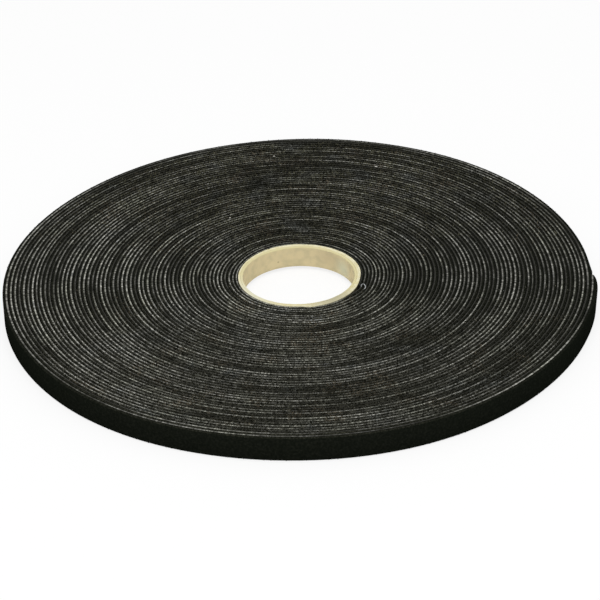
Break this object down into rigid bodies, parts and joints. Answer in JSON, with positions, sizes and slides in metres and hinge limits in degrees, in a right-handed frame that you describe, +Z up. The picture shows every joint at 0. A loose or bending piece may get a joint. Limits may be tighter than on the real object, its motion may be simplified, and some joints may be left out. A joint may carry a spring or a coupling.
{
  "type": "hook and loop tape roll",
  "caption": "Flat roll of narrow black back-to-back hook and loop tape, wound on a short cream paperboard core, with a free end that peels off the outermost turn.",
  "frame": {"origin": "on the axis of the core's bore, in the plane of the lower tape edges that the roll lies on", "axes": "+Z up along the bore's axis, out of the roll's upper face; +X towards the side where the tape's free end is; the tape winds outwards counter-clockwise seen from +Z"},
  "size_m": [0.2327, 0.2308, 0.0101],
  "materials": {
    "paperboard": "matt cream paperboard, slightly fuzzy where it is cut",
    "hook_film": "black moulded hook film whose cut edge shows light grey",
    "loop_pile": "matt black brushed loop pile"
  },
  "bodies": {
    "roll": {"core_inner_ply": "paperboard", "core_middle_ply": "paperboard", "core_outer_ply": "paperboard", "hook_strip": "hook_film", "loop_strip": "loop_pile"},
    "free_end": {"free_end_hook_strip": "hook_film", "free_end_loop_strip": "loop_pile"}
  },
  "joints": [
    {"name": "free_end_peel", "type": "hinge", "parent": "roll", "child": "free_end", "pos_m": [0.11023, -0.0398, 0.005], "axis": [0, 0, -1], "range_deg": [0, 90]}
  ]
}
